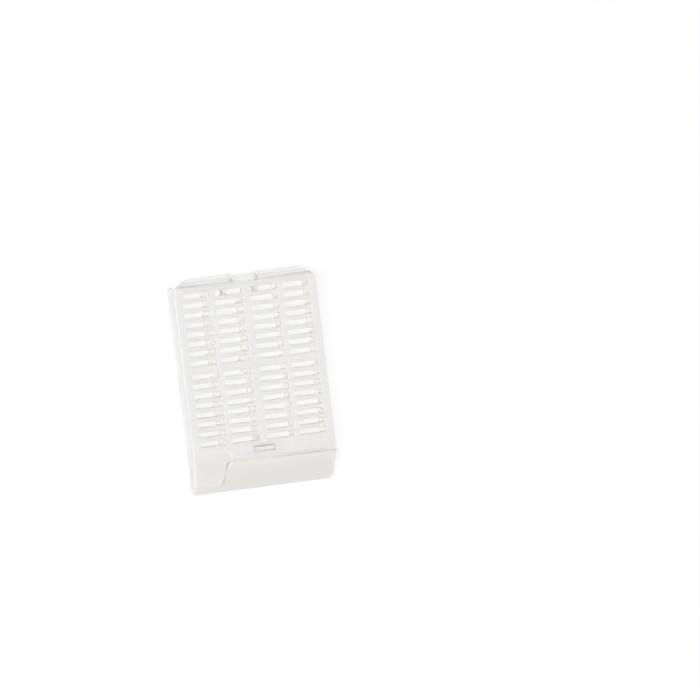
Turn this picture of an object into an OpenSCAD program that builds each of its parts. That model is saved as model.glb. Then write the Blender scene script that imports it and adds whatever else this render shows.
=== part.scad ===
// Two-part tissue cassette: a slotted tub with a sloping writing face, and a slotted
// snap lid that turns on two trunnions in the tub's back rim.
// Lengths are in millimetres. +X runs across the width, +Y towards the hinge, +Z up.
// The origin is on the table under the middle of the footprint.

/* [Overall] */
// Outside width across the side walls at the rim
body_w = 28.5; // [26:0.5:32]
// Length of the tub from its back face to the foot of the writing face
body_l = 40.65; // [38:0.5:48]
// Height of the closed cassette
body_h = 6.7; // [6.3:0.1:9]
// Thickness of the side, back and front walls
wall_t = 1.0; // [0.8:0.1:1.2]
// Thickness of the slotted floor
floor_t = 1.1; // [0.8:0.1:1.4]
// How far each side wall leans in at the bottom
side_draft = 0.18; // [0:0.02:0.3]
// Radius of the tub's upright corners
corner_r = 0.9; // [0.6:0.1:1.2]

/* [Writing face] */
// Slope of the writing face above the table
face_angle = 45; // [43:1:48]
// Height of the upright foot below the writing face
foot_h = 1.0; // [0.8:0.1:1.4]
// Thickness of the sloping plate
face_t = 0.9; // [0.8:0.1:1.1]
// How far the top edge of the writing face stays below the lid's top
lip_drop = 0.15; // [0.05:0.05:0.3]
// Width of the flat edge along the top of the writing face
lip_w = 0.15; // [0.1:0.05:0.3]
// Thickness of the rib that splits the hollow behind the writing face
bay_rib = 0.9; // [0.7:0.1:1.2]

/* [Lid] */
// Thickness of the lid
lid_t = 1.3; // [1.1:0.1:1.5]
// Gap between the lid's front edge and the writing face
front_gap = 0.35; // [0.25:0.05:0.5]
// Radius of the lid's corners
lid_corner_r = 0.7; // [0.4:0.1:1]

/* [Slots] */
// Number of slot rows in each of the two fields
rows = 8; // [6:1:8]
// Extra distance between the two fields
field_gap = 0.76; // [0.5:0.02:1]
// Distance from the tub's back face to the middle of the first row
first_row = 2.11; // [2.05:0.01:2.3]
// Distance from the lid's front edge to the middle of the last row
last_row = 3.75; // [3.75:0.05:4.2]
// Width of a slot in the lid
slot_w = 1.0; // [0.8:0.05:1.05]
// Radius of the slot corners
slot_r = 0.22; // [0.1:0.02:0.3]
// Width of the bars between inner and outer slots
bar_w = 1.0; // [0.8:0.05:1.2]
// Width of the lid's middle bar
lid_spine = 1.52; // [1.4:0.02:1.8]
// Length of the lid's inner slots
inner_slot = 5.55; // [5:0.05:5.7]
// Distance from the lid's side edges to the outer slots
lid_margin = 1.6; // [1.4:0.05:2]
// Width of a slot in the floor
floor_slot_w = 1.1; // [0.9:0.05:1.15]
// Width of the floor's middle bar
floor_spine = 1.5; // [1.3:0.05:1.7]
// Length of the floor's inner slots
floor_inner_slot = 5.92; // [5.4:0.02:6]
// Distance from the side walls to the outer floor slots
floor_margin = 0.3; // [0.2:0.05:0.8]
// Radius of the gate disc in the middle of the floor
gate_r = 1.95; // [1.5:0.05:2.2]
// Depth of the dimple under the gate disc
gate_dimple = 0.3; // [0.1:0.1:0.5]

/* [Thumb tab] */
// Width of the thumb tab where it leaves the lid
tab_w = 6.55; // [5:0.05:8]
// How far the thumb tab reaches past the lid's front edge
tab_reach = 4.6; // [3.6:0.1:4.8]
// How far behind the lid's front edge the thumb tab bends down
crease_back = 1.8; // [1.6:0.1:2.2]
// How far the dipping surface runs past the thumb tab's free side
crease_over = 1.0; // [0.9:0.05:1.3]
// Radius where the crease turns to the lid's front edge
crease_r = 1.1; // [0.8:0.1:1.3]
// Angle by which the thumb tab dips
tab_angle = 17; // [15:1:19]
// Thickness of the thumb tab
tab_t = 1.15; // [1:0.05:1.3]
// Lean of the thumb tab's free side
tab_taper = 14; // [0:1:20]
// Radius of the thumb tab's corners
tab_r = 0.7; // [0.5:0.1:1]
// Radius of the hollow corner between thumb tab and lid edge
tab_fillet = 0.85; // [0.7:0.05:1]
// Clearance below the thumb tab
tab_clear = 0.17; // [0.12:0.01:0.3]
// Clearance beside the thumb tab
tab_side_clear = 0.28; // [0.2:0.02:0.4]

/* [Back ledge] */
// Distance from the tub's back face out to the edge of the back ledge
ledge_reach = 1.25; // [1.1:0.05:1.5]
// Thickness of the back ledge
ledge_t = 2.35; // [2:0.05:2.6]
// Height of the back ledge's top above the hinge axis
ledge_rise = 0.1; // [0:0.05:0.15]
// Length by which each end of the back ledge is cut off
ledge_chamfer = 2.4; // [2:0.1:3]
// Distance from the tub's side to the start of the back ledge
ledge_inset = 1.05; // [0.95:0.05:1.6]

/* [Hinge] */
// Radius of the round hinge rim and of the lid's knuckle
rim_r = 0.5; // [0.47:0.01:0.53]
// Radius of the trunnions
pin_r = 0.28; // [0.24:0.01:0.3]
// Length of each trunnion
pin_l = 1.0; // [0.8:0.05:1.2]
// Running clearance around the trunnions
pin_clear = 0.05; // [0.03:0.01:0.06]
// Clearance at the end of each trunnion
pin_end_gap = 0.1; // [0.05:0.05:0.2]
// Depth of the hinge axis below the lid's top
axis_drop = 0.75; // [0.7:0.01:0.8]
// Distance of the hinge axis behind the tub's back face
axis_out = 0.06; // [0.04:0.01:0.12]
// Clearance between the hinge rim and the lid's back edge
rim_clear = 0.08; // [0.06:0.01:0.12]
// Width of the lid's hinge tab
hinge_w = 4.3; // [3.8:0.1:5]
// Gap on each side of the hinge tab
hinge_gap = 0.4; // [0.3:0.05:0.5]
// How far the hinge tab reaches past its axis
hinge_reach = 0.8; // [0.6:0.05:0.85]
// How far the hinge tab's surface is sunk below the lid's top
hinge_sink = 0.25; // [0.15:0.05:0.3]
// Width of the raised border on each side of the hinge tab
hinge_border = 0.25; // [0.15:0.05:0.4]
// How far the sunken surface runs into the lid
hinge_root = 0.6; // [0.4:0.05:0.8]
// Clearance under the hinge tab in the back wall's notch
notch_clear = 0.45; // [0.4:0.05:0.7]
// Width of the ribs beside the floor opening under the hinge tab
rib_w = 0.8; // [0.6:0.1:1]
// Height of those ribs above the floor
rib_rise = 1.2; // [0.8:0.1:2]
// Distance from the notch's sides to those ribs
rib_gap = 0.2; // [0.1:0.05:0.4]
// Length of the floor opening under the hinge tab
core_l = 1.5; // [1.2:0.1:1.7]
// Distance from the back wall to that opening
core_gap = 0.2; // [0.1:0.05:0.3]

/* [Latch] */
// Width of the latch and of its window
latch_w = 4.4; // [3.5:0.1:5.5]
// Length of the latch window
window_l = 1.5; // [1.3:0.05:1.5]
// Distance from the lid's front edge to the window
window_front = 1.1; // [1:0.05:1.1]
// Thickness of the latch arm
arm_t = 0.6; // [0.5:0.05:0.6]
// Length of the latch arm below the lid
arm_l = 2.2; // [1.8:0.1:2.4]
// How far the barb stands forward from the arm
barb = 0.35; // [0.25:0.05:0.4]
// Height of the barb
barb_h = 0.7; // [0.5:0.05:0.9]
// Clearance between the barb and its catch
barb_clear = 0.13; // [0.12:0.01:0.2]
// Thickness of the catch
catch_t = 0.7; // [0.5:0.1:0.9]
// Clearance between the catch and the lid
catch_clear = 0.1; // [0.05:0.05:0.2]

/* [Hidden] */
$fn = 48;

far = 60;                                    // longer than any part of the cassette
skin = 0.5;                                  // overrun of a cutter past the face it opens

half_w = body_w / 2;
cavity_half = half_w - wall_t;
y_back = (body_l - ledge_reach) / 2;         // back face of the tub
y_back_in = y_back - wall_t;
y_ledge = y_back + ledge_reach;
y_foot = y_back - body_l;                    // foot of the writing face

rim_z = body_h - lid_t;                      // seat of the lid
lip_z = body_h - lip_drop;
y_face_top = y_foot + (lip_z - foot_h) / tan(face_angle);
y_lip = y_face_top + lip_w;                  // inner side of the writing face's top edge
y_front_in = y_lip + wall_t;                 // cavity side of the front wall

axis_y = y_back + axis_out;
axis_z = body_h - axis_drop;
lid_back = axis_y - rim_r - rim_clear;
lid_front = y_lip + front_gap;

y_row1 = y_back - first_row;
row_pitch = (y_row1 - lid_front - last_row - field_gap) / (2 * rows - 1);
row_y = [for (i = [0:2 * rows - 1]) y_row1 - i * row_pitch - (i < rows ? 0 : field_gap)];
y_gate = (row_y[rows - 1] + row_y[rows]) / 2;

// Start and length of the slots on one side of the middle bar
lid_outer_x = lid_spine / 2 + inner_slot + bar_w;
lid_slots = [[lid_spine / 2, inner_slot], [lid_outer_x, half_w - lid_margin - lid_outer_x]];
floor_bar_x = floor_spine / 2 + floor_inner_slot;
floor_outer_x = floor_bar_x + bar_w;
floor_slots = [[floor_spine / 2, floor_inner_slot],
               [floor_outer_x, cavity_half - floor_margin - floor_outer_x]];

tab_x = tab_w - half_w;                      // free side of the thumb tab at its root
y_crease = lid_front + crease_back;
y_tab_end = lid_front - tab_reach;
tab_drop = tab_t / cos(tab_angle);           // thickness of the thumb tab, measured upright

notch_half = hinge_w / 2 + hinge_gap;
core_half = notch_half + rib_gap;            // half width of the opening under the hinge tab
hole_half = hinge_w / 2 + pin_l + pin_end_gap;
y_window = lid_front + window_front + window_l;

function tab_side(y) = tab_x + (y - lid_front) * tan(tab_taper);
function tab_top(y) = body_h - (y_crease - y) * tan(tab_angle);

// A profile in Y and Z drawn out along X, from x0 to x1
module along_x(x0, x1) {
    translate([x0, 0, 0]) rotate([90, 0, 90]) linear_extrude(x1 - x0) children();
}

// A round bar along the hinge axis, from -x to x
module axis_bar(x, r) {
    translate([-x, axis_y, axis_z]) rotate([0, 90, 0]) cylinder(h = 2 * x, r = r);
}

// A rectangle with four round corners
module round_plan(w, y0, y1, r) {
    translate([-w / 2 + r, y0]) square([w - 2 * r, y1 - y0]);
    translate([-w / 2, y0 + r]) square([w, y1 - y0 - 2 * r]);
    for (x = [r - w / 2, w / 2 - r], y = [y0 + r, y1 - r]) translate([x, y]) circle(r);
}

// One slot with round corners, from x to x + len
module slot(x, y, len, w) {
    translate([x + len / 2, 0]) round_plan(len, y - w / 2, y + w / 2, slot_r);
}

// The slots of each row at ys, on both sides of the middle bar
module slot_rows(ys, slots, w) {
    for (y = ys, s = slots) {
        slot(s[0], y, s[1], w);
        slot(-s[0] - s[1], y, s[1], w);
    }
}

// Outline of the thumb tab in plan, grown by gap on its free sides
module tab_plan(gap, y_root) {
    r = tab_r + gap;
    x_left = -half_w - gap;
    y_end = y_tab_end - gap;
    grow = gap / cos(tab_taper);
    corner_y = y_end + r;
    corner_x = tab_side(corner_y) + grow - r / cos(tab_taper);
    fillet_x = tab_x + tab_fillet;
    fillet_y = lid_front - tab_fillet;
    polygon([[x_left, y_root], [tab_x + grow, y_root], [tab_x + grow, lid_front],
             [corner_x + r * cos(tab_taper), corner_y - r * sin(tab_taper)],
             [corner_x, y_end], [x_left + r, y_end], [x_left, corner_y]]);
    translate([corner_x, corner_y]) circle(r);
    translate([x_left + r, corner_y]) circle(r);
    difference() {
        translate([tab_side(fillet_y), fillet_y])
            square([fillet_x - tab_side(fillet_y), tab_fillet]);
        translate([fillet_x, fillet_y]) circle(tab_fillet - gap);
    }
}

// Tub: solid outside shape, from its side view, its end view and its plan
module tub_shell() {
    intersection() {
        along_x(-half_w, half_w)
            polygon([[y_foot, 0], [y_back, 0], [y_back, rim_z], [y_lip, rim_z],
                     [y_lip, lip_z], [y_face_top, lip_z], [y_foot, foot_h]]);
        translate([0, far, 0]) rotate([90, 0, 0]) linear_extrude(2 * far)
            polygon([[side_draft - half_w, 0], [half_w - side_draft, 0], [half_w, rim_z],
                     [half_w, body_h], [-half_w, body_h], [-half_w, rim_z]]);
        linear_extrude(body_h) round_plan(body_w, y_foot, y_back, corner_r);
    }
}

// Flat ledge behind the back wall, with cut ends and the round hinge rim along its root
module back_ledge() {
    root = half_w - ledge_inset;
    top = axis_z + ledge_rise;
    y_in = y_back - wall_t / 2;
    intersection() {
        union() {
            along_x(-root, root)
                polygon([[y_in, top - ledge_t], [y_ledge, top - ledge_t], [y_ledge, top],
                         [axis_y, top], [axis_y, axis_z], [y_in, rim_z]]);
            axis_bar(root, rim_r);
        }
        linear_extrude(body_h)
            polygon([[-root, y_back - wall_t], [-root, y_back], [ledge_chamfer - root, y_ledge],
                     [root - ledge_chamfer, y_ledge], [root, y_back], [root, y_back - wall_t]]);
    }
}

// Hollow behind the writing face: one bay, and a lower one under the thumb tab
module face_hollow() {
    y_foot_in = y_foot + face_t;
    foot_z = foot_h + face_t * tan(face_angle) - face_t / cos(face_angle);
    roof = rim_z - face_t;
    y_roof = y_foot_in + (roof - foot_z) / tan(face_angle);
    bay_x = tab_x + crease_over;
    along_x(bay_x, cavity_half)
        polygon([[y_foot_in, -skin], [y_lip, -skin], [y_lip, roof], [y_roof, roof],
                 [y_foot_in, foot_z]]);
    under = tab_drop + tab_clear + face_t;
    y_meet = (tab_top(0) - under - foot_z + y_foot_in * tan(face_angle))
           / (tan(face_angle) - tan(tab_angle));
    along_x(-cavity_half, bay_x - bay_rib)
        polygon([[y_foot_in, -skin], [y_lip, -skin], [y_lip, tab_top(y_lip) - under],
                 [y_meet, tab_top(y_meet) - under], [y_foot_in, foot_z]]);
}

// Room for the thumb tab in the corner of the tub
module tab_recess() {
    y_start = y_crease + tab_clear / tan(tab_angle);
    top = body_h + skin;
    intersection() {
        linear_extrude(top) tab_plan(tab_side_clear, y_start);
        along_x(-far, 0)
            polygon([[y_start, tab_top(y_start) - tab_drop - tab_clear], [y_start, top],
                     [y_foot, top], [y_foot, tab_top(y_foot) - tab_drop - tab_clear]]);
    }
}

module floor_openings() {
    rib_end = core_half + rib_w;
    slot_rows([for (i = [1:2 * rows - 1]) row_y[i]], floor_slots, floor_slot_w);
    slot_rows([row_y[0]], [[rib_end, floor_bar_x - rib_end], floor_slots[1]], floor_slot_w);
    slot(-core_half, y_back_in - core_gap - core_l / 2, 2 * core_half, core_l);
}

module base() {
    color("whitesmoke") difference() {
        union() {
            difference() {
                union() {
                    tub_shell();
                    back_ledge();
                }
                translate([-cavity_half, y_front_in, floor_t])
                    cube([2 * cavity_half, y_back_in - y_front_in, body_h]);
                translate([0, 0, -skin]) linear_extrude(floor_t + 2 * skin) floor_openings();
            }
            translate([0, y_gate, 0]) cylinder(h = floor_t, r = gate_r);
            // ribs beside the opening under the hinge tab
            for (x = [-core_half - rib_w, core_half])
                translate([x, y_back_in - core_l - 2 * core_gap, floor_t / 2])
                    cube([rib_w, core_l + 2 * core_gap + wall_t / 2, floor_t / 2 + rib_rise]);
            // catch for the lid's latch
            translate([-latch_w / 2, y_front_in - wall_t / 2, rim_z - catch_clear - catch_t])
                cube([latch_w, y_window - barb - barb_clear - y_front_in + wall_t / 2, catch_t]);
        }
        face_hollow();
        tab_recess();
        translate([0, y_gate, -skin]) cylinder(h = skin + gate_dimple, r = gate_r * 0.6);
        // notch for the hinge tab, through the back wall's top and the whole ledge
        translate([-notch_half, y_back_in - skin, rim_z - notch_clear])
            cube([2 * notch_half, far, far]);
        translate([-notch_half, y_back, 0]) cube([2 * notch_half, far, far]);
        axis_bar(hole_half, pin_r + pin_clear);
    }
}

// Lid: plate with slots and latch window
module lid_plate() {
    difference() {
        linear_extrude(lid_t) round_plan(body_w, lid_front, lid_back, lid_corner_r);
        translate([0, 0, -skin]) linear_extrude(lid_t + 2 * skin) {
            slot_rows(row_y, lid_slots, slot_w);
            translate([-latch_w / 2, y_window - window_l]) square([latch_w, window_l]);
        }
    }
}

module thumb_tab() {
    y_past = y_tab_end - skin;
    intersection() {
        linear_extrude(body_h) tab_plan(0, y_crease);
        along_x(-far, 0)
            polygon([[y_crease, body_h], [y_past, tab_top(y_past)],
                     [y_past, tab_top(y_past) - tab_drop], [y_crease, body_h - tab_drop]]);
    }
}

// Space above the dipping surface, with a round corner where the crease ends
module tab_relief() {
    x_end = tab_x + crease_over;
    y_past = y_tab_end - skin;
    intersection() {
        linear_extrude(far) {
            translate([-far, y_past]) square([far + x_end - crease_r, y_crease - y_past]);
            translate([-far, y_past]) square([far + x_end, y_crease - crease_r - y_past]);
            translate([x_end - crease_r, y_crease - crease_r]) circle(crease_r);
        }
        along_x(-far, 0)
            polygon([[y_crease, body_h], [y_crease, far], [y_past, far], [y_past, tab_top(y_past)]]);
    }
}

// Hinge tab with the knuckle round the axis and the two trunnions
module hinge_tab() {
    root = lid_back - hinge_root - wall_t / 2;
    top = body_h - hinge_sink;
    tip = axis_y + hinge_reach;
    axis_bar(hinge_w / 2, rim_r);
    axis_bar(hinge_w / 2 + pin_l, pin_r);
    along_x(-hinge_w / 2, hinge_w / 2)
        polygon([[root, rim_z], [lid_back, rim_z], [axis_y, axis_z - rim_r], [axis_y, axis_z],
                 [tip, axis_z], [tip, top], [root, top]]);
}

// Latch arm behind the window, with the barb on its front side
module latch_arm() {
    foot = rim_z - arm_l;
    along_x(-latch_w / 2, latch_w / 2)
        polygon([[y_window, body_h - lid_t / 2], [y_window + arm_t, body_h - lid_t / 2],
                 [y_window + arm_t, foot], [y_window, foot], [y_window - barb, foot + barb],
                 [y_window - barb, foot + barb_h - barb / 2], [y_window, foot + barb_h]]);
}

module lid() {
    color("white") {
        difference() {
            union() {
                translate([0, 0, rim_z]) lid_plate();
                thumb_tab();
            }
            tab_relief();
            translate([hinge_border - hinge_w / 2, lid_back - hinge_root, body_h - hinge_sink])
                cube([hinge_w - 2 * hinge_border, far, far]);
        }
        hinge_tab();
        latch_arm();
    }
}

base();
lid();
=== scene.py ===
import math

import bmesh
import bpy
from mathutils import Matrix, Vector


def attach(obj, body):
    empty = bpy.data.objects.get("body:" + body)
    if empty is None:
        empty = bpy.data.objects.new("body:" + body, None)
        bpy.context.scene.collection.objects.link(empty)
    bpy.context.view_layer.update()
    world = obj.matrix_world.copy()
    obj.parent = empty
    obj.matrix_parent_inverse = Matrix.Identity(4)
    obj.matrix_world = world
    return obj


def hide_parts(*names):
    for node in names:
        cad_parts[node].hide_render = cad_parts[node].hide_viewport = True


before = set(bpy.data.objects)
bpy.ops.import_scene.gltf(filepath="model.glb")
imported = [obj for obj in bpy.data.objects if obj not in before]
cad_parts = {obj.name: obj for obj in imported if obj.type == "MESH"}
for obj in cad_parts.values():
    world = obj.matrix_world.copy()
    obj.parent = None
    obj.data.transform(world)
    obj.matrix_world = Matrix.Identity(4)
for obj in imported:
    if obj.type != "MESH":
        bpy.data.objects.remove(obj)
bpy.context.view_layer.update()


# ---- Tub: the slotted box with its sloping writing face ----------------------------------
# One moulding of white acetal, shot through a gate in the middle of its floor. The slotted
# floor, the walls, the writing face, the back ledge with its round hinge rim and the latch
# catch are one piece.

# Sizes are in millimetres, until a finished piece is scaled to metres.
MM = 0.001
HALF_W = 14.25
WALL = 1.0
FLOOR_T = 1.1
RIM_Z = 5.4
TOP_Z = 6.7
Y_BACK = 19.7
Y_BACK_IN = Y_BACK - WALL
Y_LEDGE = 20.95
Y_FOOT = -20.95
FOOT_H = 1.0
LIP_Z = 6.55
Y_FACE_TOP = -15.4
Y_LIP = -15.25
Y_FRONT_IN = Y_LIP + WALL
FACE_T = 0.9
FACE_NORMAL = 0.69
CAVITY_HALF = HALF_W - WALL
CORNER_R = 0.9
CAVITY_R = 0.35
DRAFT = 0.18

# The round hinge rim, the notch for the lid's hinge tab, and the ledge.
AXIS_Y = 19.76
AXIS_Z = 5.95
RIM_R = 0.5
HOLE_R = 0.33
HOLE_HALF = 2.7
NOTCH_HALF = 2.5
NOTCH_Z = 4.95
LEDGE_LOW = 3.7
LEDGE_TOP = 6.05
LEDGE_FILLET = 0.1
LEDGE_ROOT = 13.2
LEDGE_CUT = 2.4

# The slots, the gate, the ribs and the latch catch with its nose. TUB_INNER and TUB_OUTER say how
# far from the middle a slot starts, and how long it is.
ROWS = 8
ROW_PITCH = 1.8667
ROW_1 = 17.59
FIELD_GAP = 0.76
SLOT_R = 0.22
SLOT_EDGE = 0.09
TUB_SLOT_W = 1.1
TUB_INNER = (0.75, 5.92)
TUB_OUTER = (7.67, 5.28)
GATE_Y = ROW_1 - ROW_PITCH * (ROWS - 0.5) - FIELD_GAP / 2
GATE_Z = (0.02, FLOOR_T + 0.03)
GATE_R = 1.85
DIMPLE_R = 1.17
DIMPLE_Z = 0.3
RIB_X = 2.75
RIB_W = 0.8
RIB_Y = 16.8
RIB_Z = 2.3
CORE_Y = (17.0, 18.5)
LATCH_HALF = 2.2
CATCH_Y = -12.78
CATCH_Z = (4.6, 5.3)
NOSE_HALF = 2.12
NOSE_Y = (-13.77, -12.86)
NOSE_Z = (4.95, 6.5)

# The lid's front edge and its thumb tab, for which the tub has a recess.
LID_FRONT = -14.9
TAB_X = -7.7
TAB_END = -19.5
TAB_CREASE = -13.1
TAB_SLOPE = math.tan(math.radians(17))
TAB_LEAN = math.radians(14)
TAB_DROP = 1.2025
TAB_R = 0.7
TAB_FILLET = 0.85
TAB_GAP = 0.17
TAB_SIDE_GAP = 0.18
WEB_X = (TAB_X + 0.1, TAB_X + 1.0)

# Edges are rounded where two faces meet at more than SHARP, and faces within FLAT are one.
EDGE = 0.12
EDGE_STEPS = 3
SHARP = math.radians(28)
FLAT = math.radians(0.5)

# A cutting tool reaches OVERRUN past its plate, and FAR is past every side of the cassette.
# Corners within SAME_POINT are merged, and open edges are closed within SAME_SEAM.
OVERRUN = 1.0
FAR = 30.0
NEAR = 0.01
SAME_POINT = 0.0001
SAME_SEAM = 0.001


def srgb(code):
    """A colour written as a hex code, in linear light."""
    parts = [int(code[i:i + 2], 16) / 255 for i in (1, 3, 5)]
    return tuple(p / 12.92 if p <= 0.04045 else ((p + 0.055) / 1.055) ** 2.4 for p in parts) + (1,)


def add_node(tree, kind, settings=None, **inputs):
    """A node with its settings and inputs. An input, by name or as i0, i1, is a value, a socket,
    or a node that gives its first output."""
    made = tree.nodes.new(kind)
    for name, value in (settings or {}).items():
        setattr(made, name, value)
    for name, value in inputs.items():
        key = int(name[1:]) if name[0] == "i" and name[1:].isdigit() else name.replace("_", " ")
        if isinstance(value, bpy.types.Node):
            value = value.outputs[0]
        if isinstance(value, bpy.types.NodeSocket):
            tree.links.new(value, made.inputs[key])
        else:
            made.inputs[key].default_value = value
    return made


def arc(x, y, radius, start, end, steps=6):
    """Points on a circle from one angle to another, in degrees."""
    turns = [math.radians(start + (end - start) * i / steps) for i in range(steps + 1)]
    return [(x + radius * math.cos(t), y + radius * math.sin(t)) for t in turns]


def circle(x, y, radius, steps):
    """Points all round a circle."""
    return arc(x, y, radius, 0, 360, steps)[:-1]


def rounded(x0, y0, x1, y1, radius, steps=6):
    """The outline of a rectangle with round corners."""
    centres = [(x1 - radius, y1 - radius), (x0 + radius, y1 - radius),
               (x0 + radius, y0 + radius), (x1 - radius, y0 + radius)]
    return [p for i, (x, y) in enumerate(centres)
            for p in arc(x, y, radius, 90 * i, 90 * i + 90, steps)]


def round_off(radius):
    """The steps of a rounded edge: how deep each lies, and how far it stands from the side."""
    turns = [math.radians(90 * i / EDGE_STEPS) for i in range(EDGE_STEPS + 1)]
    return [(radius * (1 - math.cos(t)), radius * (1 - math.sin(t))) for t in turns]


def solid_between(rings):
    """A closed solid through rings of points, each ring with the same number of them."""
    form = bmesh.new()
    rings = [[form.verts.new(p) for p in ring] for ring in rings]
    form.faces.new(rings[0])
    form.faces.new(rings[-1])
    for lower, upper in zip(rings, rings[1:]):
        for i, corner in enumerate(lower):
            form.faces.new((corner, lower[i - 1], upper[i - 1], upper[i]))
    bmesh.ops.recalc_face_normals(form, faces=form.faces)
    mesh = bpy.data.meshes.new("solid")
    form.to_mesh(mesh)
    form.free()
    solid = bpy.data.objects.new("solid", mesh)
    bpy.context.scene.collection.objects.link(solid)
    return solid


def prism(outline, low, high, axis="z"):
    """A closed solid: an outline drawn out along one axis."""
    turn = {"x": lambda a, b, c: (c, a, b), "z": lambda a, b, c: (a, b, c)}[axis]
    return solid_between([[turn(a, b, c) for a, b in outline] for c in (low, high)])


def block(x0, y0, z0, x1, y1, z1):
    """A plain block between two corners."""
    return prism([(x0, y0), (x1, y0), (x1, y1), (x0, y1)], z0, z1)


def bar(x, radius):
    """A round bar along the hinge axis, from -x to x."""
    return prism(circle(AXIS_Y, AXIS_Z, radius, 48), -x, x, "x")


def disc(radius, low, high, x=0, y=GATE_Y):
    """An upright disc, over the gate unless another place is given."""
    return prism(circle(x, y, radius, 72), low, high)


def stacked(x0, y0, x1, y1, radius, levels):
    """A solid with round corners. Each level is a height, and how much the outline grows there."""
    rings = []
    for z, grow in levels:
        outline = rounded(x0 - grow, y0 - grow, x1 + grow, y1 + grow, radius + grow)
        rings.append([(x, y, z) for x, y in outline])
    return solid_between(rings)


def opening(x0, y0, x1, y1, low, high, radius=SLOT_R, blind=False):
    """A tool that cuts a hole or a blind pocket and rounds its edges where it leaves the plate."""
    flare = round_off(SLOT_EDGE)
    under = [(low - OVERRUN, SLOT_EDGE)] + [(low + depth, grow) for depth, grow in flare]
    over = [(high - depth, grow) for depth, grow in reversed(flare)] + [(high + OVERRUN, SLOT_EDGE)]
    return stacked(x0, y0, x1, y1, radius, ([(low, 0)] if blind else under) + over)


def baked(piece):
    """The piece with its modifiers made part of a plain mesh."""
    graph = bpy.context.evaluated_depsgraph_get()
    mesh = bpy.data.meshes.new_from_object(piece.evaluated_get(graph))
    piece.modifiers.clear()
    piece.data = mesh
    return piece


def joined(piece, how, *tools):
    """The piece after a union, difference or intersection with each tool in turn."""
    for tool in tools:
        modifier = piece.modifiers.new(how, "BOOLEAN")
        modifier.operation, modifier.solver, modifier.object = how, "EXACT", tool
    baked(piece)
    for tool in tools:
        bpy.data.objects.remove(tool)
    return piece


def slot_rows_tree():
    """Cuts two fields of slots into a plate, with inner and outer slots beside a middle bar."""
    tree = bpy.data.node_groups.new("slot rows", "GeometryNodeTree")
    sockets = {"Plate": "Geometry", "Rows per Field": "Int", "Inner Rows Left Out": "Int",
               "Row Pitch": "Float", "First Row": "Float", "Field Gap": "Float",
               "Inner Middle": "Float", "Outer Middle": "Float", "Inner Slot": "Object",
               "Outer Slot": "Object", "Material": "Material"}
    for name, kind in sockets.items():
        tree.interface.new_socket(name, in_out="INPUT", socket_type="NodeSocket" + kind)
    tree.interface.new_socket("Plate", in_out="OUTPUT", socket_type="NodeSocketGeometry")
    given = tree.nodes.new("NodeGroupInput").outputs
    rows = given["Rows per Field"]
    end = add_node(tree, "ShaderNodeMath", {"operation": "SUBTRACT"}, i0=rows, i1=0.5)
    slots = tree.nodes.new("GeometryNodeJoinGeometry")
    for kind in ("Inner", "Outer"):
        # Slots are numbered in pairs, left and right of the middle, row by row through both fields.
        left_out = given["Inner Rows Left Out"] if kind == "Inner" else 0.0
        cut_short = add_node(tree, "ShaderNodeMath", {"operation": "MULTIPLY_ADD"},
                             i0=left_out, i1=-0.5, i2=rows)
        count = add_node(tree, "ShaderNodeMath", {"operation": "MULTIPLY"}, i0=cut_short, i1=4.0)
        number = tree.nodes.new("GeometryNodeInputIndex")
        half = add_node(tree, "ShaderNodeMath", {"operation": "DIVIDE"}, i0=number, i1=2.0)
        pair = add_node(tree, "ShaderNodeMath", {"operation": "FLOOR"}, i0=half)
        row = add_node(tree, "ShaderNodeMath", {"operation": "ADD"}, i0=pair, i1=left_out)
        odd = add_node(tree, "ShaderNodeMath", {"operation": "MODULO"}, i0=number, i1=2.0)
        side = add_node(tree, "ShaderNodeMath", {"operation": "MULTIPLY_ADD"}, i0=odd, i1=2.0, i2=-1.0)
        second = add_node(tree, "ShaderNodeMath", {"operation": "GREATER_THAN"}, i0=row, i1=end)
        gap = add_node(tree, "ShaderNodeMath", {"operation": "MULTIPLY"},
                       i0=second, i1=given["Field Gap"])
        down = add_node(tree, "ShaderNodeMath", {"operation": "MULTIPLY_ADD"},
                        i0=row, i1=given["Row Pitch"], i2=gap)
        x = add_node(tree, "ShaderNodeMath", {"operation": "MULTIPLY"},
                     i0=side, i1=given[kind + " Middle"])
        y = add_node(tree, "ShaderNodeMath", {"operation": "SUBTRACT"}, i0=given["First Row"], i1=down)
        place = add_node(tree, "ShaderNodeCombineXYZ", X=x, Y=y)
        points = add_node(tree, "GeometryNodePoints", Count=count, Position=place)
        shape = add_node(tree, "GeometryNodeObjectInfo", Object=given[kind + " Slot"])
        field = add_node(tree, "GeometryNodeInstanceOnPoints", Points=points,
                         Instance=shape.outputs["Geometry"])
        tree.links.new(field.outputs[0], slots.inputs[0])
    tools = add_node(tree, "GeometryNodeRealizeInstances", Geometry=slots)
    cut = add_node(tree, "GeometryNodeMeshBoolean", {"operation": "DIFFERENCE", "solver": "EXACT"},
                   Mesh_1=given["Plate"], Mesh_2=tools)
    real = add_node(tree, "GeometryNodeRealizeInstances", Geometry=cut)
    done = add_node(tree, "GeometryNodeSetMaterial", Geometry=real, Material=given["Material"])
    tree.links.new(done.outputs[0], tree.nodes.new("NodeGroupOutput").inputs[0])
    return tree


SLOT_ROWS = slot_rows_tree()


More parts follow.
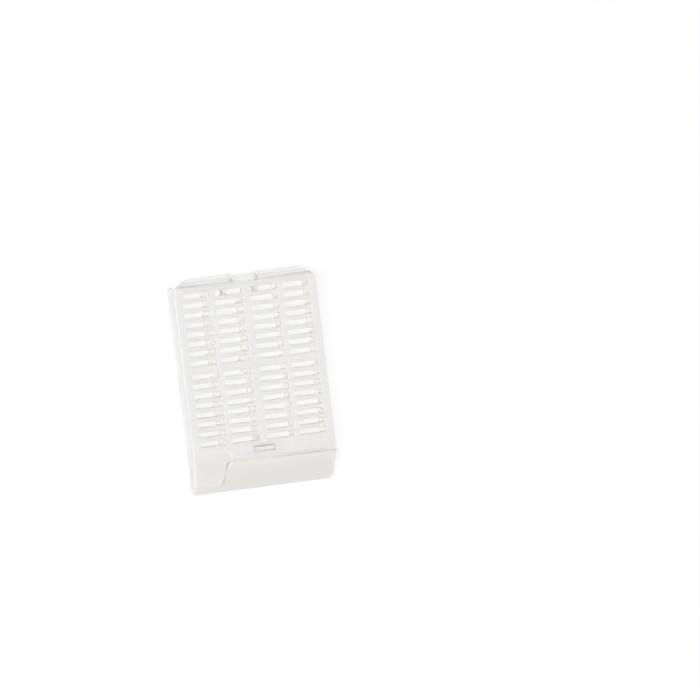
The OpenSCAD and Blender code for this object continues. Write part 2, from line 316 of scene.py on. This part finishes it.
def slotted(plate, low, high, width, inner, outer, left_out, material):
    """The plate with its slots cut. inner and outer give where a slot starts and its length."""
    sizes = {"Rows per Field": ROWS, "Inner Rows Left Out": left_out, "Row Pitch": ROW_PITCH,
             "First Row": ROW_1, "Field Gap": FIELD_GAP, "Material": material}
    for kind, (start, length) in {"Inner": inner, "Outer": outer}.items():
        sizes[kind + " Middle"] = start + length / 2
        sizes[kind + " Slot"] = opening(-length / 2, -width / 2, length / 2, width / 2, low, high)
    modifier = plate.modifiers.new("slots", "NODES")
    modifier.node_group = SLOT_ROWS
    for item in SLOT_ROWS.interface.items_tree:
        if item.in_out == "INPUT" and item.name in sizes:
            modifier[item.identifier] = sizes[item.name]
    baked(plate)
    for kind in ("Inner", "Outer"):
        bpy.data.objects.remove(sizes[kind + " Slot"])
    return plate


def on_thin_lip(corner):
    """Whether a corner lies on the thin round lip along the top of the writing face."""
    return Y_FACE_TOP - EDGE < corner.co.y < Y_LIP + NEAR and corner.co.z > LIP_Z - EDGE


def softened(piece, radius):
    """The piece with its edges rounded as moulded, all but the ends of the thin round lip."""
    form = bmesh.new()
    form.from_mesh(piece.data)
    bmesh.ops.remove_doubles(form, verts=form.verts, dist=SAME_POINT)
    bmesh.ops.dissolve_limit(form, angle_limit=FLAT, verts=form.verts, edges=form.edges)
    weight = form.edges.layers.float.new("bevel_weight_edge")
    for edge in form.edges:
        if edge.calc_face_angle(0) > SHARP and not all(on_thin_lip(v) for v in edge.verts):
            edge[weight] = 1.0
    form.to_mesh(piece.data)
    form.free()
    edges = piece.modifiers.new("moulded edges", "BEVEL")
    edges.width, edges.segments, edges.limit_method = radius, EDGE_STEPS, "WEIGHT"
    edges.use_clamp_overlap, edges.loop_slide = False, False
    return baked(piece)


def stitched(form):
    """Joins an edge that was left open to the shorter edges which lie along it."""
    open_edges = [edge for edge in form.edges if edge.is_boundary]
    ends = dict.fromkeys(corner for edge in open_edges for corner in edge.verts)
    for edge in open_edges:
        a, b = edge.verts
        for corner in [corner for corner in ends if corner not in (a, b)]:
            part = (corner.co - a.co).dot(b.co - a.co) / edge.calc_length() ** 2
            if 0 < part < 1 and (a.co.lerp(b.co, part) - corner.co).length < SAME_SEAM:
                bmesh.utils.edge_split(edge, a, part)
                break
    bmesh.ops.remove_doubles(form, verts=form.verts, dist=SAME_SEAM)


def finished(piece, name, *materials):
    """The piece in metres, smooth where it is round and flat where it is flat."""
    form = bmesh.new()
    form.from_mesh(piece.data)
    bmesh.ops.remove_doubles(form, verts=form.verts, dist=SAME_POINT)
    stitched(form)
    form.to_mesh(piece.data)
    form.free()
    piece.data.shade_smooth()
    piece.modifiers.new("flat faces", "WEIGHTED_NORMAL")
    baked(piece)
    piece.data.transform(Matrix.Scale(MM, 4))
    piece.data.materials.clear()
    for material in materials:
        piece.data.materials.append(material)
    piece.name = piece.data.name = name
    return piece


# Acetal is a waxy white plastic: light scatters deep in it, which softens every shadow. Flow
# marks vary its tone and sheen, and shallow waves bend what it reflects. The grain that the
# mould leaves is finer than GRAIN_SIZE, and is drawn this coarse so that it shows.
ACETAL_IOR = 1.48
SCATTER = 1.2
SHEEN = (0.38, 0.5)
FLOW_SIZE = 4.17
FLOW_TONES = (0.3, 0.7)
WAVE_SIZE = 2.38
WAVE_H = 0.01
GRAIN_SIZE = 0.1923


def acetal(name, pale, deep, grain):
    """White acetal from a spark-eroded mould: fine grain, faint flow marks and a soft sheen."""
    material = bpy.data.materials.new(name)
    material.use_nodes = True
    tree = material.node_tree
    shader = tree.nodes["Principled BSDF"]
    place = tree.nodes.new("ShaderNodeTexCoord").outputs["Object"]
    flow = add_node(tree, "ShaderNodeTexNoise", Vector=place, Scale=1 / (FLOW_SIZE * MM),
                    Detail=3.0, Distortion=1.2)
    tint = add_node(tree, "ShaderNodeValToRGB", Fac=flow)
    for stop, position, colour in zip(tint.color_ramp.elements, FLOW_TONES, (deep, pale)):
        stop.position, stop.color = position, colour
    sheen = add_node(tree, "ShaderNodeMapRange", Value=flow, To_Min=SHEEN[0], To_Max=SHEEN[1])
    waves = add_node(tree, "ShaderNodeTexNoise", Vector=place, Scale=1 / (WAVE_SIZE * MM), Detail=1.0)
    fine = add_node(tree, "ShaderNodeTexNoise", Vector=place, Scale=1 / (GRAIN_SIZE * MM), Detail=2.0)
    broad = add_node(tree, "ShaderNodeBump", Height=waves, Distance=WAVE_H * MM, Strength=0.6)
    rough = add_node(tree, "ShaderNodeBump", Height=fine, Distance=grain * MM, Strength=0.5, Normal=broad)
    for socket, node in {"Base Color": tint, "Roughness": sheen, "Normal": rough}.items():
        tree.links.new(node.outputs[0], shader.inputs[socket])
    shader.inputs["IOR"].default_value = ACETAL_IOR
    shader.inputs["Subsurface Weight"].default_value = 1.0
    shader.inputs["Subsurface Radius"].default_value = (1.0, 1.0, 1.0)
    shader.inputs["Subsurface Scale"].default_value = SCATTER * MM
    return material


def tab_plan(gap, root, front):
    """Outline of the thumb tab in plan, grown by a gap, up to the edge it grows from."""
    radius = TAB_R + gap
    lean = math.degrees(TAB_LEAN)
    left, y = -HALF_W - gap, TAB_END - gap + radius
    x = TAB_X + (y - LID_FRONT) * math.tan(TAB_LEAN) + (gap - radius) / math.cos(TAB_LEAN)
    hollow = arc(TAB_X + TAB_FILLET, front - TAB_FILLET + gap, TAB_FILLET - gap, 180 - lean, 90)
    return ([(left, root)] + arc(left + radius, y, radius, 180, 270)
            + arc(x, y, radius, 270, 360 - lean) + hollow + [(hollow[-1][0], root)])


def tab_top(y):
    """Height of the thumb tab's upper face."""
    return TOP_Z - (TAB_CREASE - y) * TAB_SLOPE


def tub_blank():
    """Floor and walls, from their plan and side view, with the walls drawn in at the bottom."""
    lip_r = (Y_LIP - Y_FACE_TOP) / math.sqrt(2)
    side_view = ([(Y_FOOT, 0), (Y_BACK, 0), (Y_BACK, RIM_Z), (Y_LIP, RIM_Z)]
                 + arc(Y_LIP - lip_r, LIP_Z - lip_r, lip_r, 0, 135, 9) + [(Y_FOOT, FOOT_H)])
    blank = prism(rounded(-HALF_W, Y_FOOT, HALF_W, Y_BACK, CORNER_R, 10), 0, TOP_Z)
    joined(blank, "INTERSECT", prism(side_view, -FAR, FAR, "x"))
    for corner in blank.data.vertices:
        corner.co.x *= 1 - DRAFT / HALF_W * max(0.0, 1 - corner.co.z / RIM_Z)
    cavity = rounded(-CAVITY_HALF, Y_FRONT_IN, CAVITY_HALF, Y_BACK_IN, CAVITY_R)
    return joined(blank, "DIFFERENCE", prism(cavity, FLOOR_T, FAR))


def ledge():
    """Flat back ledge with cut ends and the round hinge rim along its root."""
    root = Y_BACK - WALL / 2
    start = math.asin((LEDGE_TOP + LEDGE_FILLET - AXIS_Z) / (RIM_R + LEDGE_FILLET))
    fillet_y = AXIS_Y + (RIM_R + LEDGE_FILLET) * math.cos(start)
    turn = math.degrees(start)
    side_view = ([(root, LEDGE_LOW), (Y_LEDGE, LEDGE_LOW), (Y_LEDGE, LEDGE_TOP)]
                 + arc(fillet_y, LEDGE_TOP + LEDGE_FILLET, LEDGE_FILLET, 270, 180 + turn, 4)
                 + arc(AXIS_Y, AXIS_Z, RIM_R, turn, 225, 18)[1:] + [(root, RIM_Z)])
    cut = LEDGE_ROOT - LEDGE_CUT
    plan = [(-LEDGE_ROOT, Y_BACK_IN), (LEDGE_ROOT, Y_BACK_IN), (LEDGE_ROOT, Y_BACK),
            (cut, Y_LEDGE), (-cut, Y_LEDGE), (-LEDGE_ROOT, Y_BACK)]
    return joined(prism(side_view, -LEDGE_ROOT, LEDGE_ROOT, "x"), "INTERSECT", prism(plan, 0, FAR))


def face_hollows():
    """The two open bays under the writing face, which keep its walls of one thickness."""
    y_in = Y_FOOT + FACE_T
    foot = FOOT_H + FACE_T - FACE_T * math.sqrt(2)
    roof = RIM_Z - FACE_T
    under = TAB_DROP + TAB_GAP + FACE_T
    meet = (tab_top(0) - under - foot + y_in) / (1 - TAB_SLOPE)
    wide = [(y_in, -OVERRUN), (Y_LIP, -OVERRUN), (Y_LIP, roof), (y_in + roof - foot, roof), (y_in, foot)]
    low = [(y_in, -OVERRUN), (Y_LIP, -OVERRUN), (Y_LIP, tab_top(Y_LIP) - under),
           (meet, tab_top(meet) - under), (y_in, foot)]
    return prism(wide, WEB_X[1], CAVITY_HALF, "x"), prism(low, -CAVITY_HALF, WEB_X[0], "x")


def tab_recess():
    """Room for the lid's thumb tab in the corner of the tub."""
    start, past = TAB_CREASE + TAB_GAP / TAB_SLOPE, Y_FOOT - OVERRUN
    depth = TAB_DROP + TAB_GAP
    side_view = [(start, tab_top(start) - depth), (start, FAR), (past, FAR),
                 (past, tab_top(past) - depth)]
    return joined(prism(tab_plan(TAB_SIDE_GAP, start, Y_LIP), 0, FAR), "INTERSECT",
                  prism(side_view, -FAR, 0, "x"))


# The tub is plain and bright. Its writing face is frosted to hold pencil, and the deeper grain
# breaks up its sheen.
tub_acetal = acetal("white acetal of the tub", srgb("#fcfcfa"), srgb("#fbfaf8"), grain=0.004)
frosted_acetal = acetal("frosted acetal of the writing face", srgb("#fcfbf8"), srgb("#faf8f5"), grain=0.03)

ribs = [block(x, RIB_Y, FLOOR_T / 2, x + RIB_W, Y_BACK_IN + WALL / 2, RIB_Z)
        for x in (-RIB_X - RIB_W, RIB_X)]
catch = block(-LATCH_HALF, Y_FRONT_IN - WALL / 2, CATCH_Z[0], LATCH_HALF, CATCH_Y, CATCH_Z[1])
tub = joined(tub_blank(), "UNION", ledge(), *ribs, catch)
notch = block(-NOTCH_HALF, Y_BACK_IN - WALL / 2, NOTCH_Z, NOTCH_HALF, FAR, FAR)
ledge_gap = block(-NOTCH_HALF, Y_BACK, -OVERRUN, NOTCH_HALF, FAR, FAR)
joined(tub, "DIFFERENCE", *face_hollows(), tab_recess(), notch, ledge_gap)
softened(tub, EDGE)
nose = block(-NOSE_HALF, NOSE_Y[0], NOSE_Z[0], NOSE_HALF, NOSE_Y[1], NOSE_Z[1])
joined(tub, "UNION", softened(nose, EDGE / 2))
joined(tub, "DIFFERENCE", bar(HOLE_HALF, HOLE_R))
slotted(tub, 0, FLOOR_T, TUB_SLOT_W, TUB_INNER, TUB_OUTER, 1, tub_acetal)

# The ribs cut the first inner slots short, and the steel core below the hinge leaves its opening.
rib_out, bar_in = RIB_X + RIB_W + EDGE, sum(TUB_INNER)
row = (ROW_1 - TUB_SLOT_W / 2, ROW_1 + TUB_SLOT_W / 2)
joined(tub, "DIFFERENCE", opening(rib_out, row[0], bar_in, row[1], 0, FLOOR_T),
       opening(-bar_in, row[0], -rib_out, row[1], 0, FLOOR_T),
       opening(EDGE - RIB_X, CORE_Y[0], RIB_X - EDGE, CORE_Y[1], 0, FLOOR_T))
joined(tub, "UNION", disc(GATE_R, *GATE_Z))
joined(tub, "DIFFERENCE", disc(DIMPLE_R, -OVERRUN, DIMPLE_Z))
finished(tub, "slotted_tub", tub_acetal, frosted_acetal)
# The writing face lies at 45 degrees, where the normal points forwards and up by 0.71 each.
for face in tub.data.polygons:
    if min(-face.normal.y, face.normal.z) > FACE_NORMAL:
        face.material_index = 1
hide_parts("base")
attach(tub, "base")


# ---- Lid: the slotted plate with its thumb tab, hinge tab and latch -----------------------
# The second moulding of white acetal, sprung onto the tub by the trunnions of its hinge tab.
# The thumb tab dips over the corner of the writing face, and the latch arm hangs behind the
# small window.
LID_BACK = 19.18
LID_R = 0.7
LIP_ROOT = 0.0
LIP_BACK = 19.38
LIP_LOW = 6.3
LIP_R = 1.0
LIP_INSET = 0.02
LID_INNER = (0.76, 5.55)
LID_OUTER = (7.31, 5.34)
LID_SLOT_W = 1.0
TOP_NORMAL = 0.93

# The hinge tab with its sunk panel, the trunnions and their bosses.
HINGE_HALF = 2.2
HINGE_ROOT = 18.08
HINGE_STEP_Y = 19.0
HINGE_TIP = 20.62
HINGE_TOP = 6.45
PANEL_HALF = 1.88
PANEL_Y = (19.25, 20.4)
PANEL_Z = 6.32
PIN_R = 0.28
PIN_HALF = 2.66
BOSS_R = 0.48
BOSS_HALF = 2.44

# The latch arm behind the window.
WINDOW = (-13.8, -12.3)
ARM_T = 0.6
ARM_FOOT = 3.2
ARM_TOP = 6.5
SHOULDER = 0.45
BARB = 0.35

# The crease and the relief of the thumb tab, and the net of faces that is pressed into them.
CREASE_W = 0.25
CREASE_STEP = 0.1
CREASE_STEP_W = 0.15
CREASE_TOP = TAB_CREASE + CREASE_STEP_W
RELIEF_X = TAB_X + 1.0
RELIEF_R = 1.1
RELIEF_W = 0.2
UNDER_X = TAB_X + 0.25
UNDER_W = 0.3
NET = 0.05
NET_LINES = 40
NET_MERGE = 0.000001

# The shallow ring that the lid's gate leaves.
GATE_MARK = (0.42, 2.85)
GATE_MARK_R = 0.6
GATE_MARK_DEPTH = 0.04
GATE_PEG_Z = (TOP_Z - 0.3, TOP_Z - 0.01)


def slab(x0, y0, x1, y1, low, high, radius):
    """A block with round corners and rounded edges."""
    cuts = round_off(EDGE)
    levels = [(low + depth, -cut) for depth, cut in cuts]
    levels += [(high - depth, -cut) for depth, cut in reversed(cuts)]
    return stacked(x0, y0, x1, y1, radius, levels)


def lid_plan():
    """Outline of the lid with its thumb tab, still flat."""
    r = LID_R
    return (arc(HALF_W - r, LID_BACK - r, r, 0, 90, 10) + arc(r - HALF_W, LID_BACK - r, r, 90, 180, 10)
            + tab_plan(0, 0, LID_FRONT)[1:-1] + arc(HALF_W - r, LID_FRONT + r, r, 270, 360, 10))


def smooth(x):
    """0 below 0 and 1 above 1, with a smooth rise between."""
    x = min(max(x, 0.0), 1.0)
    return x * x * (3 - 2 * x)


def dip(x, y):
    """How far the lid's top and underside are pressed down at the thumb tab."""
    back = max(0.0, TAB_CREASE - y)
    if y >= CREASE_TOP or x >= RELIEF_X:
        return 0.0, 0.0
    fall = TAB_SLOPE * (back * back / (2 * CREASE_W) if back < CREASE_W else back - CREASE_W / 2)
    fall += CREASE_STEP * smooth((CREASE_TOP - y) / CREASE_STEP_W)
    dx, dy = x - RELIEF_X + RELIEF_R, y - CREASE_TOP + RELIEF_R
    inside = RELIEF_R - (math.hypot(dx, dy) if dx > 0 and dy > 0 else max(dx, dy))
    under = max(0.0, fall - (TOP_Z - RIM_Z - TAB_DROP))
    return fall * smooth(inside / RELIEF_W), under * smooth((UNDER_X - x) / UNDER_W)


def dipped(piece):
    """The flat lid with its front left corner cut into a fine net and pressed down into the tab."""
    form = bmesh.new()
    form.from_mesh(piece.data)

    def cut(axis, at, faces):
        parts = list(faces)
        edges = dict.fromkeys(edge for face in parts for edge in face.edges)
        corners = dict.fromkeys(corner for face in parts for corner in face.verts)
        point, normal = Vector(), Vector()
        point[axis], normal[axis] = at, 1
        bmesh.ops.bisect_plane(form, geom=[*parts, *edges, *corners], dist=NET_MERGE, plane_co=point,
                               plane_no=normal)

    def corner_faces():
        return [f for f in form.faces
                if all(v.co.x < RELIEF_X + 2 * NET and v.co.y < CREASE_TOP + 2 * NET for v in f.verts)]

    cut(0, RELIEF_X + NET, form.faces)
    cut(1, CREASE_TOP + NET, form.faces)
    for i in range(NET_LINES):
        cut(0, RELIEF_X - NET * i, corner_faces())
        cut(1, CREASE_TOP - NET * i, corner_faces())
    for corner in form.verts:
        top, under = dip(corner.co.x, corner.co.y)
        part = (corner.co.z - RIM_Z) / (TOP_Z - RIM_Z)
        corner.co.z -= under + (top - under) * part
    form.to_mesh(piece.data)
    form.free()
    return piece


# Painted shade: the lid's upward faces are painted a shade greyer than its other faces, which stay bright
# to light the tub inside. The upward faces also have a finer mould grain.
lid_acetal = acetal("white acetal of the lid", srgb("#faf9f8"), srgb("#f9f8f7"), grain=0.004)
grained_painted_shade_acetal = acetal("textured acetal of the lid's upper face", srgb("#ebebec"), srgb("#e9e9ea"),
                         grain=0.008)

lid = dipped(softened(prism(lid_plan(), RIM_Z, TOP_Z), EDGE))
lip_half = HALF_W - LIP_INSET
joined(lid, "UNION", slab(-lip_half, LIP_ROOT, lip_half, LIP_BACK, LIP_LOW, TOP_Z, LIP_R))
hinge_step = opening(-HINGE_HALF, HINGE_STEP_Y, HINGE_HALF, FAR, AXIS_Z, TOP_Z, blind=True)
window = opening(-LATCH_HALF, WINDOW[0], LATCH_HALF, WINDOW[1], RIM_Z, TOP_Z, EDGE)
joined(lid, "DIFFERENCE", hinge_step, window)

hinge_side = ([(HINGE_ROOT, RIM_Z), (LID_BACK, RIM_Z)] + arc(AXIS_Y, AXIS_Z, RIM_R, 270, 360, 8)
              + [(HINGE_TIP, AXIS_Z), (HINGE_TIP, HINGE_TOP), (HINGE_ROOT, HINGE_TOP)])
hinge_tab = softened(prism(hinge_side, -HINGE_HALF, HINGE_HALF, "x"), EDGE)
bosses = softened(bar(BOSS_HALF, BOSS_R), EDGE / 2)
front, back = WINDOW[1], WINDOW[1] + ARM_T
arm_side = [(front - SHOULDER, ARM_TOP), (back, ARM_TOP), (back, ARM_FOOT), (front, ARM_FOOT),
            (front - BARB, ARM_FOOT + BARB), (front - BARB, ARM_FOOT + 1.5 * BARB),
            (front, ARM_FOOT + 2 * BARB), (front, ARM_TOP - 2 * SHOULDER),
            (front - SHOULDER, ARM_TOP - SHOULDER)]
latch_arm = softened(prism(arm_side, -LATCH_HALF, LATCH_HALF, "x"), EDGE / 2)
joined(lid, "UNION", hinge_tab, bar(PIN_HALF, PIN_R), bosses, latch_arm)
panel = opening(-PANEL_HALF, PANEL_Y[0], PANEL_HALF, PANEL_Y[1], PANEL_Z, HINGE_TOP, blind=True)
joined(lid, "DIFFERENCE", panel)

mark_x, mark_y = GATE_MARK
ring = opening(mark_x - GATE_MARK_R, mark_y - GATE_MARK_R, mark_x + GATE_MARK_R, mark_y + GATE_MARK_R,
               TOP_Z - GATE_MARK_DEPTH, TOP_Z, GATE_MARK_R - NEAR, blind=True)
joined(lid, "DIFFERENCE", ring)
joined(lid, "UNION", disc(GATE_MARK_R / 2, *GATE_PEG_Z, mark_x, mark_y))
slotted(lid, RIM_Z, TOP_Z, LID_SLOT_W, LID_INNER, LID_OUTER, 0, lid_acetal)
finished(lid, "slotted_lid", lid_acetal, grained_painted_shade_acetal)
# The painted shade and the finer grain are on what faces up, and on the thumb tab, where the normal still
# rises by 0.96.
for face in lid.data.polygons:
    if face.normal.z > TOP_NORMAL:
        face.material_index = 1
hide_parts("lid")
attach(lid, "lid")


# ---- Studio: floor, soft light and camera -------------------------------------------------
# A pale floor under a ring of soft lamps, and a camera that looks down on the closed lid. The floor's
# middle glows brighter where the camera sees it, as painted light through the slots, and a weak lamp in
# them lights their walls.

# Studio sizes are in metres. The view spans VIEW_WIDTH at the height of the lid, and VIEW_RIGHT
# and VIEW_UP say how far its middle lies from the cassette's.
FLOOR_HALF = 3.0
GLOW_PANEL_X = (-0.0133, 0.0133)
GLOW_PANEL_Y = (-0.0135, 0.0187)
SLOT_LIGHT_Z = 0.00005
SLOT_LIGHT_SIZE = (0.026, 0.0315)
SKY_LIGHT = 0.14
SKY_SEEN = 1.0
VIEW_TILT = math.radians(13.2)
VIEW_LEAN = math.radians(1.2)
VIEW_ROLL = math.radians(7.0)
VIEW_DISTANCE = 1.2
VIEW_WIDTH = 0.13566
VIEW_RIGHT = 0.0181
VIEW_UP = 0.005775
LENS_SENSOR = 36


def seen_directly(tree):
    """1 where the camera sees this straight, or through gloss or glass."""
    path = tree.nodes.new("ShaderNodeLightPath").outputs
    both = add_node(tree, "ShaderNodeMath", {"operation": "MAXIMUM"}, i0=path["Is Camera Ray"],
                    i1=path["Is Glossy Ray"])
    return add_node(tree, "ShaderNodeMath", {"operation": "MAXIMUM"}, i0=both,
                    i1=path["Is Transmission Ray"])


def floor_material(name, shade, glow):
    """White card. Seen directly it glows, with faint shadows. All other light meets matte white."""
    material = bpy.data.materials.new(name)
    material.use_nodes = True
    tree = material.node_tree
    tree.nodes.clear()
    matte = add_node(tree, "ShaderNodeBsdfDiffuse", Color=srgb("#f9f9f9"))
    shaded = add_node(tree, "ShaderNodeBsdfDiffuse", Color=srgb(shade))
    light = add_node(tree, "ShaderNodeEmission", Color=srgb("#ffffff"), Strength=glow)
    seen = add_node(tree, "ShaderNodeAddShader", i0=shaded, i1=light)
    mix = add_node(tree, "ShaderNodeMixShader", i0=seen_directly(tree), i1=matte, i2=seen)
    tree.links.new(mix.outputs[0], tree.nodes.new("ShaderNodeOutputMaterial").inputs[0])
    return material


# The floor is a grid of nine faces. The middle one, under the tub, glows brighter to the camera: painted
# light that fills the tub's shadow seen through the slots.
across_floor = (-FLOOR_HALF, *GLOW_PANEL_X, FLOOR_HALF)
along_floor = (-FLOOR_HALF, *GLOW_PANEL_Y, FLOOR_HALF)
floor_mesh = bpy.data.meshes.new("floor")
floor_mesh.from_pydata([(x, y, 0) for y in along_floor for x in across_floor], [],
                       [(i, i + 1, i + 5, i + 4) for i in range(11) if i % 4 < 3])
floor_mesh.materials.append(floor_material("white paper", "#868686", 0.78))
floor_mesh.materials.append(floor_material("painted glow panel", "#595959", 0.84))
floor_mesh.polygons[4].material_index = 1
floor = bpy.data.objects.new("floor", floor_mesh)
bpy.context.scene.collection.objects.link(floor)

world = bpy.data.worlds.new("studio")
bpy.context.scene.world = world
world.use_nodes = True
tree = world.node_tree
tree.nodes.clear()
level = add_node(tree, "ShaderNodeMix", {"data_type": "FLOAT"}, i0=seen_directly(tree), i2=SKY_LIGHT,
                 i3=SKY_SEEN)
sky = add_node(tree, "ShaderNodeBackground", Color=srgb("#ffffff"), Strength=level)
tree.links.new(sky.outputs[0], tree.nodes.new("ShaderNodeOutputWorld").inputs[0])


def softbox(name, azimuth, elevation, distance, wide, high, watts, tint="#ffffff", aim=(0, 0, 0)):
    """A lamp with a rectangular face, which looks at a point from the given direction."""
    a, e = math.radians(azimuth), math.radians(elevation)
    back = Vector((math.cos(e) * math.cos(a), math.cos(e) * math.sin(a), math.sin(e)))
    lamp = bpy.data.lights.new(name, "AREA")
    lamp.shape, lamp.size, lamp.size_y, lamp.energy = "RECTANGLE", wide, high, watts
    lamp.color = srgb(tint)[:3]
    holder = bpy.data.objects.new(name, lamp)
    holder.location = Vector(aim) + back * distance
    holder.rotation_euler = back.to_track_quat("Z", "Y").to_euler()
    holder.visible_camera = False
    bpy.context.scene.collection.objects.link(holder)


# Each lamp stands at a bearing and a height in degrees, at a distance, with the width and height
# of its face and its watts.
softbox("strip light", 180, 65, 0.7, 0.09, 0.3, 2.55)
softbox("left softbox", 180, 12, 0.5, 0.2, 0.2, 0.4)
softbox("front softbox", -90, 40, 0.6, 0.3, 0.3, 0.68, "#fff4e8")
softbox("back softbox", 90, 35, 0.6, 0.2, 0.3, 0.5)
softbox("right softbox", 0, 30, 0.6, 0.3, 0.3, 1.1)
floor_top = (0, GATE_Y * MM, FLOOR_T * MM)
softbox("slot light", 0, -90, floor_top[2] - SLOT_LIGHT_Z, *SLOT_LIGHT_SIZE, 0.0003, aim=floor_top)

across = Vector((math.cos(VIEW_TILT), 0, math.sin(VIEW_TILT)))
downward = Vector((math.sin(VIEW_TILT) * math.cos(VIEW_LEAN), -math.sin(VIEW_LEAN),
                   -math.cos(VIEW_TILT) * math.cos(VIEW_LEAN)))
upward = across.cross(downward)
right = across * math.cos(VIEW_ROLL) - upward * math.sin(VIEW_ROLL)
top = across * math.sin(VIEW_ROLL) + upward * math.cos(VIEW_ROLL)
middle = Vector((0, 0, TOP_Z * MM))
lens = bpy.data.cameras.new("camera")
camera = bpy.data.objects.new("camera", lens)
bpy.context.scene.collection.objects.link(camera)
bpy.context.scene.camera = camera
camera.location = middle - downward * VIEW_DISTANCE
aim = middle + right * VIEW_RIGHT + top * VIEW_UP
ahead = (aim - camera.location).normalized()
side = ahead.cross(top).normalized()
camera.rotation_euler = Matrix((side, side.cross(ahead), -ahead)).transposed().to_euler()
lens.sensor_width = LENS_SENSOR
lens.lens = LENS_SENSOR * VIEW_DISTANCE / VIEW_WIDTH
lens.clip_start, lens.clip_end = 0.01, 20
bpy.context.scene.view_settings.view_transform = "Standard"

# Light is reflected many times inside the tub before it comes out through the slots.
bpy.context.scene.cycles.max_bounces = 20
bpy.context.scene.cycles.diffuse_bounces = 16
